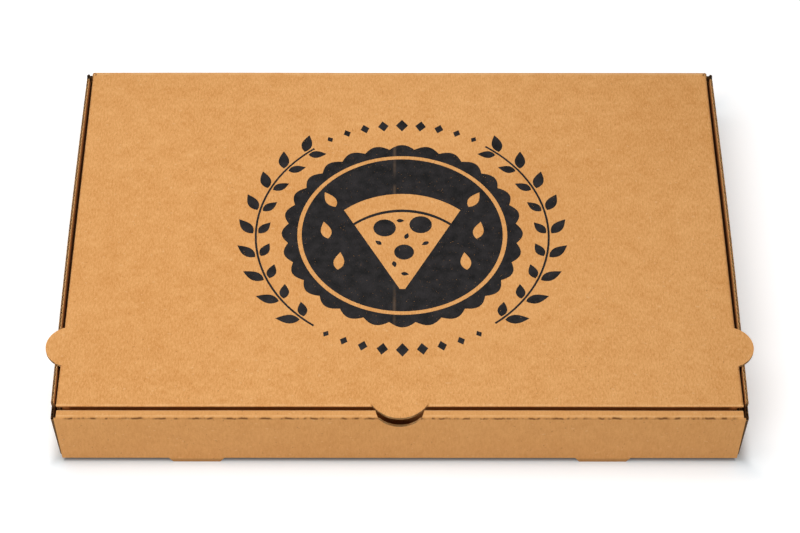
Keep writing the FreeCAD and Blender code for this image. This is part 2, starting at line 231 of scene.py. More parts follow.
def punch(bm, dies, operation):
    """Cut the sheet with several dies at once; INTERSECT keeps what is inside them."""
    tool = bmesh.new()
    for die in dies:
        add_mesh(tool, die)
    pair = []
    for name, item in (("sheet", bm), ("die", tool)):
        pair.append(bpy.data.objects.new(name, to_mesh(name, item)))
        bpy.context.scene.collection.objects.link(pair[-1])
    cut = pair[0].modifiers.new("cut", "BOOLEAN")
    cut.operation = operation
    cut.solver = "EXACT"
    cut.object = pair[1]
    depsgraph = bpy.context.evaluated_depsgraph_get()
    result = bpy.data.meshes.new_from_object(pair[0].evaluated_get(depsgraph))
    for item in pair:
        mesh = item.data
        bpy.data.objects.remove(item)
        bpy.data.meshes.remove(mesh)
    done = bmesh.new()
    done.from_mesh(result)
    bpy.data.meshes.remove(result)
    return done


def arc(cx, cy, rx, ry, start, end, count):
    """Points on an ellipse from one angle to another, in degrees."""
    angles = [math.radians(start + (end - start) * i / count) for i in range(count + 1)]
    return [(cx + rx * math.cos(a), cy + ry * math.sin(a)) for a in angles]


def oval(cx, cy, rx, ry, count):
    """A whole ellipse, its first point not repeated."""
    return arc(cx, cy, rx, ry, 0, 360, count)[:-1]


def mirrored(points):
    """The right half of an outline, completed by its mirror image."""
    return points + [(-x, y) for x, y in reversed(points)]


print("flutes along the sheet", round(strip.end(TUCK) / FLUTE))


# %% [markdown]
# ## A strip of board
# A strip is three layers with one die. Its liners and its wavy layer are kept in
# two meshes, because the liners are smooth brown paper and the wave is a duller
# grade. Faces that the die made are given their own slot: cut paper is paler. Board
# that has been handled is never quite flat, so the folded mesh strays a little.

# %% A strip of board from its grid lines, dies and folded place
RAW = 1              # material slot of a cut face
SWING = (BOARD - 2 * LINER - MEDIUM) / 2   # half the height of a flute
SOFT = 140           # from one soft place of the board to the next
STRAY = 0.25         # how far the board strays sideways
SAG = 0.35           # and up or down
DOWN = 0.6           # the share of the noise by which it hangs lower on the whole
noise.seed_set(18)   # the same soft places on every run


def settle(point):
    """The slow unevenness of handled board; it keeps inside the top, front and back."""
    x, y, z = point
    shift = noise.noise_vector(Vector(point) / SOFT)
    return Vector((x + STRAY * shift.x, y + STRAY * shift.y * (1 - (y / FRONT) ** 2),
                   z + SAG * (shift.z - DOWN) * z / TOP))


def board(across, along, outline, holes, folded, mirror=False):
    """The liners and the wavy layer of one strip, cut and folded, as two bmeshes."""
    fine = lines(along[0], along[-1], FLUTE / 8)
    coarse = [across[i] for i in range(0, len(across), 2)]
    if coarse[-1] != across[-1]:
        coarse.append(across[-1])
    made = []
    for lay in (layer(across, along, lambda y: 0.0, LINER),
                layer(across, along, lambda y: BOARD - LINER, LINER),
                layer(coarse, merged(fine, along),
                      lambda y: LINER + SWING * (1 + wave(y)), MEDIUM)):
        lay = punch(lay, [prism(outline)], "INTERSECT")
        if holes:
            lay = punch(lay, [prism(hole) for hole in holes], "DIFFERENCE")
        lay.normal_update()
        for face in lay.faces:
            face.material_index = RAW if abs(face.normal.z) < 0.5 else 0
            face.smooth = True
        for v in lay.verts:
            v.co = settle(folded(*v.co))
        if mirror:
            twin = lay.copy()
            bmesh.ops.scale(twin, vec=(-1, 1, 1), verts=twin.verts[:])
            add_mesh(lay, twin)
        bmesh.ops.recalc_face_normals(lay, faces=lay.faces[:])
        made.append(lay)
    liners = add_mesh(made[0], made[1])
    return liners, made[2]


def piece(name, body, parts):
    """Join finished bmeshes, in metres, into one named object that rides on a body."""
    bm = bmesh.new()
    for part in parts:
        add_mesh(bm, part)
    bmesh.ops.scale(bm, vec=(MM, MM, MM), verts=bm.verts[:])
    mesh = to_mesh(name, bm)
    mesh.set_sharp_from_angle(angle=math.radians(35))
    item = bpy.data.objects.new(name, mesh)
    bpy.context.scene.collection.objects.link(item)
    if body:
        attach(item, body)
    print(name, "faces", len(mesh.polygons))
    return item


def side_view(x, place, depth):
    """A place in the front-to-back strip."""
    y, z = strip.point(place, depth)
    return x, y, z


print("height of a flute", round(2 * SWING + MEDIUM, 2), "mm")

# %% [markdown]
# ## The front-to-back strip of the tray
# From the locking edge the sheet goes up behind the front wall, over the rim, down
# the front wall, along the floor and up the back wall. One outline with stepped
# and slanted edges holds all five panels, so the layers run on unbroken round
# every crease.

# %% The tray's strip
FOOT_X = 118.2       # from the middle of the box to the middle of a foot
FOOT_HALF = 15.6     # half the width of the slot behind it
LOCK_HALF = 14.4     # half the width of the locking tab in that slot
LOCK_OUT = 1.0       # how far the tab stands out below the floor
SLOT_DEEP = 4.6      # from the crease to the far edge of the slot
CHAMFER = 1.2        # corner cut off a tab or the lid
NOTCH_SET = 8.5      # from the rim's front crease to the middle of the finger hole
NOTCH_HALF = 14.1    # half its width
NOTCH_LONG = 15.5    # half its length along the sheet
GRID_HALF = 200.0    # half the width of the grid, a little past the strip's edges


def bend_lines(fold, runs, step):
    """Lines along a strip, close together at each crease between the runs."""
    found = []
    for run in runs:
        found.append(lines(fold.start(run), fold.end(run), step))
        if run != runs[-1]:
            found.append(lines(fold.end(run), fold.start(run + 1), CREASE / 6))
    return merged(*found)


x_lines = lines(-GRID_HALF, GRID_HALF, GRID_HALF / 12)
rise = SPLAY * (RIM - FLOOR) / (TOP - FLOOR)
wall_edge = SIDE - 1.4                 # edge of the front and back walls at the floor
wall_corner = wall_edge - 1.0 + rise   # and at the rim
roll_edge = SIDE - 3.7                 # edge of the rolled-over layers
lock_low = -(FLOOR + SLACK - UNDER + LOCK_OUT)
tray_outline = mirrored([
    (FOOT_X - LOCK_HALF, 0.0),
    (FOOT_X - LOCK_HALF, lock_low + CHAMFER),
    (FOOT_X - LOCK_HALF + CHAMFER, lock_low),
    (FOOT_X + LOCK_HALF - CHAMFER, lock_low),
    (FOOT_X + LOCK_HALF, lock_low + CHAMFER),
    (FOOT_X + LOCK_HALF, 0.0),
    (roll_edge, 0.0),
    (roll_edge + rise, strip.end(INNER_PANEL)),
    (roll_edge + rise, strip.start(FRONT_WALL) - 1.2),
    (wall_corner, strip.start(FRONT_WALL) - 0.8),
    (wall_corner, strip.start(FRONT_WALL)),
    (wall_edge, strip.end(FRONT_WALL)),
    (wall_edge, strip.start(FLOOR_PANEL)),
    (SIDE - BOARD, strip.start(FLOOR_PANEL)),
    (SIDE - BOARD, strip.end(FLOOR_PANEL)),
    (wall_edge, strip.end(FLOOR_PANEL)),
    (wall_edge, strip.start(BACK_WALL)),
    (wall_corner, strip.end(BACK_WALL) - BESIDE),
])
notch = oval(0, strip.start(FRONT_WALL) - NOTCH_SET, NOTCH_HALF, NOTCH_LONG, 56)
slot_near = strip.end(FRONT_WALL)
slot_far = strip.start(FLOOR_PANEL) + SLOT_DEEP
slots = [[(x - FOOT_HALF, slot_near), (x + FOOT_HALF, slot_near),
          (x + FOOT_HALF, slot_far), (x - FOOT_HALF, slot_far)] for x in (-FOOT_X, FOOT_X)]
tray_runs = [INNER_PANEL, ROLLED_RIM, FRONT_WALL, FLOOR_PANEL, BACK_WALL]
tray_lines = merged([lock_low - 1.0], bend_lines(strip, tray_runs, 20.0))
tray_strip = board(x_lines, tray_lines, tray_outline, [notch] + slots, side_view)
print("front wall", round(2 * wall_edge, 1), "mm wide at the floor and",
      round(2 * wall_corner, 1), "at the rim")

# %% [markdown]
# ## Feet
# Where a slot is cut in the floor, the tongue of board in front of it stays in the
# plane of the front wall and stands a little lower than the floor. It is a short
# straight strip that narrows downwards and has softened corners.

# %% The two feet
FOOT_ROUND = 1.0     # radius of its lower corners
foot_fall = FLOOR - tray_low.z


def front_view(x, place, depth):
    """A place in the plane of the front wall, measured down from the floor crease."""
    return x, FRONT + BOARD - depth, FLOOR - place


foot_base = FOOT_HALF + 0.8            # half its width at the floor
foot_toe = FOOT_HALF - 2.4             # from its middle to the middle of a soft corner
foot_round = (foot_fall - FOOT_ROUND, FOOT_ROUND, FOOT_ROUND)
foot_outline = ([(FOOT_X + foot_base, 0.0)]
                + arc(FOOT_X + foot_toe, *foot_round, 30, 90, 4)
                + arc(FOOT_X - foot_toe, *foot_round, 90, 150, 4)
                + [(FOOT_X - foot_base, 0.0)])
feet = board(lines(FOOT_X - 20, FOOT_X + 20, 5), lines(-1.0, foot_fall + 1, 1.0),
             foot_outline, [], front_view, mirror=True)
print("a foot is", round(2 * foot_base, 1), "mm wide at the floor")

# %% [markdown]
# ## Side walls with their corner flaps
# A side wall and its two corner flaps are one strip seen in plan: flap, corner,
# wall, corner, flap. The wall leans out, more so at the rear, and its rim bulges
# between the corners, so its place is worked out from the height up the wall.

# %% Side walls
FRONT_FLAP = 62.0    # length of the flap in the rolled-over front wall
REAR_FLAP = 58.0     # and of the one inside the back wall
FLAP_SLANT = 6.0     # slant of their free edges
SHOULDER_DROP = 3.0  # how far the rim steps down in front of the lid
SHOULDER_RUN = 3.6   # how far behind the lid's front edge it does so
TIP_RISE = 1.4       # height of the small tip at the rear end of the rim
FLAP_FRONT = FRONT + 2 * BOARD + SLACK
FLAP_BACK = BACK - 2 * BOARD - SLACK
HIGH = RIM - FLOOR
plan = Fold((SIDE - BOARD - REAR_FLAP, FLAP_BACK), 0,
            [REAR_FLAP, FLAP_BACK - FLAP_FRONT, FRONT_FLAP], -1)


def wall_place(height, place, depth):
    """A place in a side wall or its flaps, height measured up from the floor."""
    x, y = plan.point(place, depth)
    middle = (plan.start(1) + plan.end(1)) / 2
    half = (plan.end(1) - plan.start(1)) / 2
    bulge = max(0.0, 1 - ((place - middle) / half) ** 2)
    rear = min(1.0, max(0.0, (plan.end(1) - place) / (2 * half)))
    lean = SPLAY + BOW * bulge + REAR_SPLAY * rear
    return x + lean * max(height, 0) / HIGH, y, FLOOR + height


shoulder = HIGH - SHOULDER_DROP
back_step = plan.end(0) + 0.1
front_step = plan.end(1) - (LID_FRONT + SHOULDER_RUN - FLAP_FRONT)
wall_outline = [
    (SLACK, 0.0), (shoulder, FLAP_SLANT), (shoulder, back_step - 4.2),
    (HIGH - SLACK, back_step - 3.6), (HIGH - SLACK, back_step - 0.4),
    (HIGH + TIP_RISE, back_step), (HIGH + TIP_RISE, back_step + 1.8),
    (HIGH, back_step + 3.0), (HIGH, front_step), (shoulder, front_step),
    (shoulder, plan.end(2) - FLAP_SLANT), (SLACK, plan.end(2)), (SLACK, plan.end(1)),
    (0.0, plan.end(1)), (0.0, plan.start(1)), (SLACK, plan.start(1)),
]
wall_lines = merged(bend_lines(plan, [0, 1, 2], 16.0))
walls = board(lines(-1.0, HIGH + 1.0, 6.5), wall_lines, wall_outline, [], wall_place,
              mirror=True)
print("side wall with its flaps", round(plan.end(2), 1), "mm long")

# %% [markdown]
# ## The creases beside the floor
# The floor belongs to one strip and the side walls to another. The bend between
# them could be left as two edges that meet, but light shows such a seam. So it is a
# narrow strip of its own, a quarter turn with a little flat board on each side.

# %% The creases between the floor and the side walls
floor_turn = Fold((SIDE - BOARD - BESIDE, FLOOR), 0, [BESIDE, BESIDE], 1)


def floor_crease(place, y, depth):
    """A place in the crease beside the floor."""
    x, z = floor_turn.point(place, depth)
    return x, y, z


crease_outline = [(BESIDE, FLAP_FRONT), (floor_turn.start(1), FLAP_FRONT),
                  (floor_turn.start(1), FLAP_BACK), (BESIDE, FLAP_BACK)]
side_creases = board(merged(lines(BESIDE, floor_turn.start(1), CREASE / 6), [0.0, 5.0]),
                     lines(FLAP_FRONT - 1, FLAP_BACK + 1, 16.0), crease_outline, [],
                     floor_crease, mirror=True)

tray_liners = piece("tray_liners", "tray",
                    [part[0] for part in (tray_strip, feet, walls, side_creases)])
tray_flutes = piece("tray_flutes", "tray",
                    [part[1] for part in (tray_strip, feet, walls, side_creases)])
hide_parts("tray")

# %% [markdown]
# ## The lid
# The thumb tabs stay in the plane of the lid while the flaps round them fold down.
# So the top panel with its tabs is one flat strip, and the folds with their flaps
# are others, with a window where a tab was cut from them.

# %% The top panel of the lid, with the front tab and the two ears
HINGE_LAP = 1.2      # flat board of the lid that stays with the hinge's crease
TAB_DROOP = 0.9      # how far the thumb tab hangs at its tip
lid_start = strip.start(LID_PANEL) + HINGE_LAP
lid_end = strip.end(LID_PANEL)
tab_centre = lid_end + BOARD
LID_IN = LID_SIDE - BOARD


def lid_place(x, place, depth):
    """A place in the plane of the lid; the tab past its front crease droops a little."""
    droop = TAB_DROOP * (max(0.0, place - lid_end) / (BOARD + TAB_REACH)) ** 1.5
    return x, BACK - BOARD - (place - strip.start(LID_PANEL)), RIM + depth - droop


ear_place = strip.start(LID_PANEL) + BACK - BOARD - EAR_Y
ear_root = math.degrees(math.acos((LID_IN - LID_SIDE - EAR_REACH + EAR_RADIUS)
                                  / EAR_RADIUS))
tab_middle = tab_centre + TAB_REACH - TAB_RADIUS
tab_root = math.degrees(math.asin((lid_end - tab_middle) / TAB_RADIUS))
lid_outline = mirrored(
    [(LID_IN - CHAMFER, lid_start), (LID_IN, lid_start + CHAMFER)]
    + arc(LID_SIDE + EAR_REACH - EAR_RADIUS, ear_place, EAR_RADIUS, EAR_RADIUS,
          -ear_root, ear_root, 24)
    + [(LID_IN, lid_end)]
    + arc(0, tab_middle, TAB_RADIUS, TAB_RADIUS, tab_root, 90, 20)[:-1])
lid_x = merged(x_lines, [-208.0, 208.0])
lid_y = merged(lines(strip.start(LID_PANEL), lid_end, 16.0), [tab_centre + 9.0])
top_panel = board(lid_x, lid_y, lid_outline, [], lid_place)
print("radius of the thumb tab", round(TAB_RADIUS, 1), "mm, of an ear", EAR_RADIUS, "mm")

# %% [markdown]
# ## The tuck flap
# The flap that hangs behind the front wall is never folded quite square: it leans
# in, most of all next to its crease. It could be turned as a stiff plate. Here its
# lean grows with the root of the depth, which bends it as board bends.

# %% The front crease and the tuck flap
FLAP_CORNER = 12.0   # corner cut off the lid's flaps
tuck_half = LID_IN - 2.0
tuck_start, tuck_end = strip.start(TUCK), strip.end(TUCK)


def tuck_view(x, place, depth):
    """A place in the front crease, or in the tuck flap that leans in below it."""
    y, z = strip.point(place, depth)
    down = max(0.0, place - tuck_start + 0.4 * CREASE) / (tuck_end - tuck_start)
    return x, y + TUCK_LEAN * down ** 0.5, z


tuck_outline = mirrored([(LID_SIDE - 0.2, lid_end), (LID_SIDE - 0.2, tuck_start),
                         (tuck_half, tuck_start + CHAMFER),
                         (tuck_half, tuck_end - FLAP_CORNER),
                         (tuck_half - FLAP_CORNER, tuck_end)])
window = oval(0, tuck_start + TAB_REACH - TAB_RADIUS, TAB_RADIUS, TAB_RADIUS, 72)
tuck_lines = merged(lines(lid_end, tuck_start, CREASE / 10),
                    lines(tuck_start, tuck_start + 4.0, 1.0),
                    lines(tuck_start, tuck_end, 7.0))
tuck_flap = board(x_lines, tuck_lines, tuck_outline, [window], tuck_view)
print("tuck flap", round(tuck_end - tuck_start, 1), "mm deep")

# %% [markdown]
# ## The side flaps
# Each side flap stiffens the lid and slides down inside the side wall, so it leans
# in a little. Its window is the place that the ear was cut from.

# %% The side creases and side flaps of the lid
FLAP_LEAN = 1.0      # how far a side flap leans in at its lower edge
FLAP_GAP = 1.8       # between a side flap and what lies behind it
lid_turn = Fold((LID_IN - BESIDE, RIM), 0, [BESIDE, RIM - TOP + FLAP_HEIGHT], -1)


def flap_place(place, y, depth):
    """A place in the lid's side flap, which leans in towards its lower edge."""
    x, z = lid_turn.point(place, depth)
    down = max(0.0, RIM - z) / (RIM - TOP + FLAP_HEIGHT)
    return x - FLAP_LEAN * down, y, z


flap_low = lid_turn.end(1)
flap_front = LID_FRONT + BOARD + 2.0
flap_back = FLAP_BACK - FLAP_GAP
flap_outline = [
    (BESIDE, LID_FRONT + BOARD), (lid_turn.start(1), LID_FRONT + BOARD),
    (lid_turn.start(1), flap_front), (flap_low - FLAP_CORNER, flap_front),
    (flap_low, flap_front + FLAP_CORNER), (flap_low, flap_back - FLAP_CORNER),
    (flap_low - FLAP_CORNER, flap_back), (lid_turn.start(1), flap_back),
    (lid_turn.start(1), BACK - FLAP_GAP), (BESIDE, BACK - FLAP_GAP)]
ear_window = oval(lid_turn.start(1) - BOARD - EAR_RADIUS + EAR_REACH, EAR_Y,
                  EAR_RADIUS, EAR_RADIUS, 48)
side_flaps = board(merged([0.0], lines(BESIDE, lid_turn.start(1), CREASE / 6),
                          lines(lid_turn.start(1), flap_low + 1, 9.0)),
                   lines(LID_FRONT, BACK, 16.0), flap_outline, [ear_window], flap_place,
                   mirror=True)

lid_liners = piece("lid_liners", "lid",
                   [part[0] for part in (top_panel, tuck_flap, side_flaps)])
lid_flutes = piece("lid_flutes", "lid",
                   [part[1] for part in (top_panel, tuck_flap, side_flaps)])
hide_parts("lid")

# %% [markdown]
# ## The hinge
# Along the top of the back wall the board simply bends. The strip of board round
# this crease belongs to neither body: it turns smoothly from one to the other.

# %% The crease of the hinge
hinge_start = strip.end(BACK_WALL) - BESIDE
hinge_lines = merged(lines(hinge_start, strip.end(BACK_WALL), 0.5),
                     lines(strip.end(BACK_WALL), strip.start(LID_PANEL), CREASE / 10),
                     lines(strip.start(LID_PANEL), lid_start, 0.6))
hinge_outline = mirrored([(wall_corner, hinge_start),
                          (wall_corner, hinge_start + 0.6),
                          (LID_IN - CHAMFER, lid_start)])
hinge = piece("hinge_crease", None,
              board(x_lines, hinge_lines, hinge_outline, [], side_view))
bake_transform(hinge)

# %% [markdown]
# ## The print
# A one-colour print lies on the lid. Painting it in the shader would blur its
# edges in the exported model, so it is a film of ink with crisp edges. The film
# starts with the same grid lines as the lid's liner, follows it everywhere, and is
# cut by dies of its own. The design is a plain roundel with a slice of pizza, two
# sprigs of leaves and rows of diamonds.

# %% The printed design
PRINT_X = 1.5                          # the middle of the design
PRINT_Y = LID_FRONT + 131.0
PRINT_SCALE = 1.07


def turned(points, angle, distance):
    """Points drawn about the middle, moved out by a distance and turned by an angle."""
    c, s = math.cos(math.radians(angle)), math.sin(math.radians(angle))
    return [(c * (x + distance) - s * y, s * (x + distance) + c * y) for x, y in points]


def scalloped(radius, depth, count):
    """A circle with a number of round bulges."""
    steps = count * 8
    ring = []
    for i in range(steps):
        a = 2 * math.pi * i / steps
        r = radius + depth * abs(math.cos(count * a / 2))
        ring.append((r * math.cos(a), r * math.sin(a)))
    return ring


def leaf(length, width):
    """A pointed leaf from its stalk at the middle to its tip."""
    upper = [(length * i / 10, width / 2 * math.sin(math.pi * (i / 10) ** 0.8))
             for i in range(11)]
    return upper + [(x, -y) for x, y in reversed(upper[1:-1])]


def moved(points, dx, dy):
    return [(x + dx, y + dy) for x, y in points]


slice_shape = ([(-1.5, -41.0), (1.5, -41.0), (33.0, 17.0)]
               + arc(0, -24.0, 52.0, 54.0, 50, 130, 16) + [(-33.0, 17.0)])
crust_line = (arc(0, -36.0, 47.0, 54.0, 52, 128, 16)
              + arc(0, -38.0, 47.0, 54.0, 128, 52, 16))
discs = [(-10.0, 4.0, 6.4), (10.5, 6.5, 6.4), (1.0, -14.0, 5.6)]
crumbs = [(-1.0, 9.5), (2.5, -2.0), (-13.5, -7.0), (13.0, -7.5), (-4.5, -23.0), (1.5, -30.0)]
roundel = [scalloped(65.0, 3.4, 28)]
roundel_holes = [oval(0, 0, 59.5, 59.5, 96)]
shield = [oval(0, 0, 57.0, 57.0, 96)]
shield_holes = [slice_shape]
for side in (-1, 1):
    for place, turn in ((20, 60), (-4, 78), (-27, 96)):
        start = turned(leaf(13.0, 6.0), turn if side > 0 else 180 - turn, 0)
        shield_holes.append(moved(start, side * (43 - abs(place) * 0.25), place))
toppings = [crust_line]
for x, y, r in discs:
    toppings.append(oval(x, y, r, r, 28))
for i, (x, y) in enumerate(crumbs):
    toppings.append(moved(turned(leaf(4.6, 2.6), 70 * i, -2.3), x, y))
sprigs = []
for side in (0, 180):
    stem = (arc(0, 0, 83.6, 83.6, -52, 54, 30) + arc(0, 0, 82.4, 82.4, 54, -52, 30))
    sprigs.append(turned(stem, side, 0))
    for i in range(9):
        angle = -48 + 12 * i if side == 0 else 228 - 12 * i
        sense = 1 if side == 0 else -1
        sprigs.append(turned(moved(turned(leaf(13.5, 6.2), sense * 52, 0), 1.6, 0),
                             angle, 83.0))
        sprigs.append(turned(moved(turned(leaf(10.5, 5.4), sense * 128, 0), -1.6, 0),
                             angle, 83.0))
diamonds = []
for centre in (90, 270):
    for i in range(-4, 5):
        size = 3.6 - 0.45 * abs(i)
        shape = [(-size * 1.3, 0), (0, -size), (size * 1.3, 0), (0, size)]
        diamonds.append(turned(shape, centre + 7.5 * i, 84.0))
print("printed shapes", len(toppings) + len(sprigs) + len(diamonds))

# %% The film of ink
INK = 0.03           # thickness of the film


def ink_film(shapes, holes, lift=0.02):
    """A film of ink on the lid with the outlines of the shapes, less the holes."""
    film = layer(x_lines, lines(strip.start(LID_PANEL), lid_end, 16.0),
                 lambda y: BOARD + lift, INK)
    middle = strip.start(LID_PANEL) + BACK - BOARD - PRINT_Y
    for group, operation in ((shapes, "INTERSECT"), (holes, "DIFFERENCE")):
        dies = [prism([(PRINT_X + PRINT_SCALE * x, middle - PRINT_SCALE * y)
                       for x, y in shape]) for shape in group]
        if dies:
            film = punch(film, dies, operation)
    for v in film.verts:
        v.co = settle(lid_place(*v.co))
    bmesh.ops.recalc_face_normals(film, faces=film.faces[:])
    return film


lid_print = piece("lid_print", "lid", [
    ink_film(roundel, roundel_holes), ink_film(shield, shield_holes),
    ink_film(toppings, []), ink_film(diamonds, []),
    ink_film(sprigs[::2], []), ink_film(sprigs[1::2], [], 0.021)])

# %% [markdown]
# ## Finishes
# Kraft board is never one brown: its pulp settles in clouds, its fibres lie along
# the web, and a few dark shives and pale fibres show. The layers of noise below
# follow those scales, from 100 mm down to half a millimetre. Ramps with many stops
# could do the same, but sums of noise are easier to weigh against each other, so
# a small class lets shader maths be written as plain expressions.


# %% Shader maths as expressions
class Value:
    """A socket of a material that can be added, subtracted and multiplied."""

    def __init__(self, finish, socket):
        self.finish = finish
        self.socket = socket

    def maths(self, operation, first, second):
        return self.finish.maths(operation, first, second)

    def __add__(self, other):
        return self.maths("ADD", self, other)

    def __sub__(self, other):
        return self.maths("SUBTRACT", self, other)

    def __rsub__(self, other):
        return self.maths("SUBTRACT", other, self)

    def __mul__(self, other):
        return self.maths("MULTIPLY", self, other)

    __radd__ = __add__
    __rmul__ = __mul__


class Finish:
    """A material that is put together node by node."""

    def __init__(self, name, roughness, specular):
        self.material = bpy.data.materials.new(name)
        self.material.use_nodes = True
        self.tree = self.material.node_tree
        self.shader = self.tree.nodes["Principled BSDF"]
        self.wire(self.shader, {"Roughness": roughness, "Specular IOR Level": specular})
        self.place = self.node("ShaderNodeTexCoord", {}, {}, "Object")
        axes = self.node("ShaderNodeSeparateXYZ", {}, {"Vector": self.place}).socket.node
        self.x, self.y, self.z = (Value(self, axes.outputs[i]) for i in range(3))
        self.aside = self.maths("ABSOLUTE", self.x)

    def wire(self, node, inputs):
        for key, given in inputs.items():
            if isinstance(given, Value):
                self.tree.links.new(given.socket, node.inputs[key])
            else:
                node.inputs[key].default_value = given

    def node(self, kind, settings, inputs, output=0):
        """Add a node with its settings, fill its sockets, and give one of its outputs."""
        node = self.tree.nodes.new(kind)
        for key, setting in settings.items():
            setattr(node, key, setting)
        self.wire(node, inputs)
        return Value(self, node.outputs[output])

    def maths(self, operation, *values):
        return self.node("ShaderNodeMath", {"operation": operation}, dict(enumerate(values)))

    def noise(self, scale, stretch=(1, 1, 1), detail=2.0):
        """Noise about 0.5; scale is in waves per metre."""
        where = self.node("ShaderNodeMapping", {}, {"Vector": self.place, "Scale": stretch})
        return self.node("ShaderNodeTexNoise", {},
                         {"Vector": where, "Scale": scale, "Detail": detail})

    def step(self, value, low, high):
        """0 below low, 1 above high, smooth between."""
        return self.node("ShaderNodeMapRange", {"interpolation_type": "SMOOTHSTEP"},
                         {"Value": value, "From Min": low, "From Max": high})

    def rising(self, value, low, high):
        """0 below low, 1 above high, smooth between; low and high in mm."""
        return self.step(value, low * MM, high * MM)

    def falling(self, value, low, high):
        """1 below low, 0 above high, smooth between; low and high in mm."""
        return 1 - self.rising(value, low, high)

    def band(self, value, start, full, fade, end):
        """0 before start, 1 from full to fade, 0 after end; all four in mm."""
        return self.rising(value, start, full) * self.falling(value, fade, end)

    def near(self, value, centre, width):
        """1 at the centre, falling to 0 at a distance of width; both in mm."""
        return self.falling(self.maths("ABSOLUTE", value - centre * MM), 0.0, width)

    def mix(self, factor, first, second):
        """Mix two colours; these are sockets 6 and 7 of the node, and its output 2."""
        return self.node("ShaderNodeMix", {"data_type": "RGBA"},
                         {0: factor, 6: first, 7: second}, 2)

    def bump(self, height, distance, strength):
        return self.node("ShaderNodeBump", {}, {
            "Height": height, "Distance": distance, "Strength": strength})


# %% [markdown]
# ## Kraft liner
# The liner's fibres run across the flutes, so the fine noise is stretched along Y
# and Z. A crease has a painted highlight on its crown, partly the paler stretched
# liner, and the rolled-over rim has a broken dark line where the liner has buckled,
# darkened with painted shade. Those lines follow the creases, so they are drawn by
# height and by distance from the front, and so is the painted shade on the front
# corners, the rear tips, the feet and the board beside narrow gaps, which little
# light reaches.

# %% Kraft liner of the tray and of the lid
FIBRES = (3.2, 1.0, 1.0)


# colour of the painted highlight on a crease's crown, partly the paler stretched liner
CREASE_HIGHLIGHT = (0.93, 0.58, 0.27, 1)
# near-black colour of painted shade
PAINTED_SHADE = (0.03, 0.014, 0.006, 1)


def kraft(name, contrast, crowns, shade):
    """Brown liner with painted highlights on its creases' crowns and the lines that shade
    draws.

    A crown is its place from front to back, its half width, the level it lies above
    and how far from the middle it starts.
    """
    paper = Finish(name, 0.82, 0.25)
    cloud = paper.noise(9.0) - 0.5
    mottle = paper.noise(95.0, detail=3.0) - 0.5
    streak = paper.noise(330.0, FIBRES, 3.0) - 0.5
    fibre = paper.noise(1100.0, FIBRES, 1.0) - 0.5
    tone = 0.5 + contrast * (0.35 * cloud + 0.6 * mottle + 1.15 * streak + fibre)
    color = paper.mix(tone, (0.65, 0.278, 0.070, 1), (0.87, 0.452, 0.166, 1))
    shive = paper.step(paper.noise(560.0, (1.6, 1.0, 1.0), 0.0), 0.79, 0.86)
    color = paper.mix(0.45 * shive, color, (0.36, 0.13, 0.03, 1))
    pale = paper.step(paper.noise(480.0, (1.0, 1.5, 1.5), 0.0), 0.78, 0.86)
    color = paper.mix(0.35 * pale, color, (0.93, 0.60, 0.30, 1))
    waver = paper.noise(240.0, (1.0, 0.0, 0.0), 2.0) - 0.5
    # each crown is a painted highlight along a crease, partly the paler stretched liner
    for centre, width, low, from_x in crowns:
        line = paper.near(paper.y + 0.0004 * waver, centre, width)
        line = line * paper.rising(paper.z, low - 0.3, low)
        line = line * paper.rising(paper.aside, from_x, from_x + 1.0)
        breakup = 0.2 + 0.8 * paper.step(paper.noise(70.0, (1.0, 0.0, 0.0), 3.0), 0.36, 0.6)
        color = paper.mix(0.5 * line * breakup, color, CREASE_HIGHLIGHT)
    color = shade(paper, color, waver)
    ridges = paper.maths("SINE", paper.y * (2 * math.pi / (FLUTE * MM)))
    height = streak + 0.6 * fibre + 0.12 * ridges
    paper.wire(paper.shader, {"Base Color": color,
                              "Normal": paper.bump(height, 0.00006, 0.6)})
    return paper


def front_corner_shade(finish):
    """1 where painted shade darkens the two front corners."""
    spot = finish.band(finish.y, FRONT + 1.7, FRONT + 2.6, LID_FRONT + 3.3, LID_FRONT + 3.9)
    spot = spot * finish.rising(finish.aside, 196.4, 196.8)
    return spot * finish.rising(finish.z, TOP - 7.0, TOP - 6.0)


def rear_tip_shade(finish, from_x):
    """1 where painted shade darkens the tips of the side walls at the hinge, from so far out.
    """
    spot = finish.rising(finish.aside, from_x, from_x + 0.4)
    spot = spot * finish.band(finish.y, BACK - 5.2, BACK - 4.6, BACK - 1.7, BACK - 1.6)
    return spot * finish.rising(finish.z, TOP - 6.0, TOP - 4.5)


def wall_face(finish):
    """How far from the middle the outer face of a side wall is, in metres."""
    half, length = 0.132, 0.270
    bulge = 1 - finish.maths("MULTIPLY", finish.y, finish.y) * (1 / half ** 2)
    lean = (SPLAY + REAR_SPLAY / 2) + BOW * bulge + (REAR_SPLAY / length) * finish.y
    return SIDE * MM + lean * (finish.z - FLOOR * MM) * (1 / HIGH)


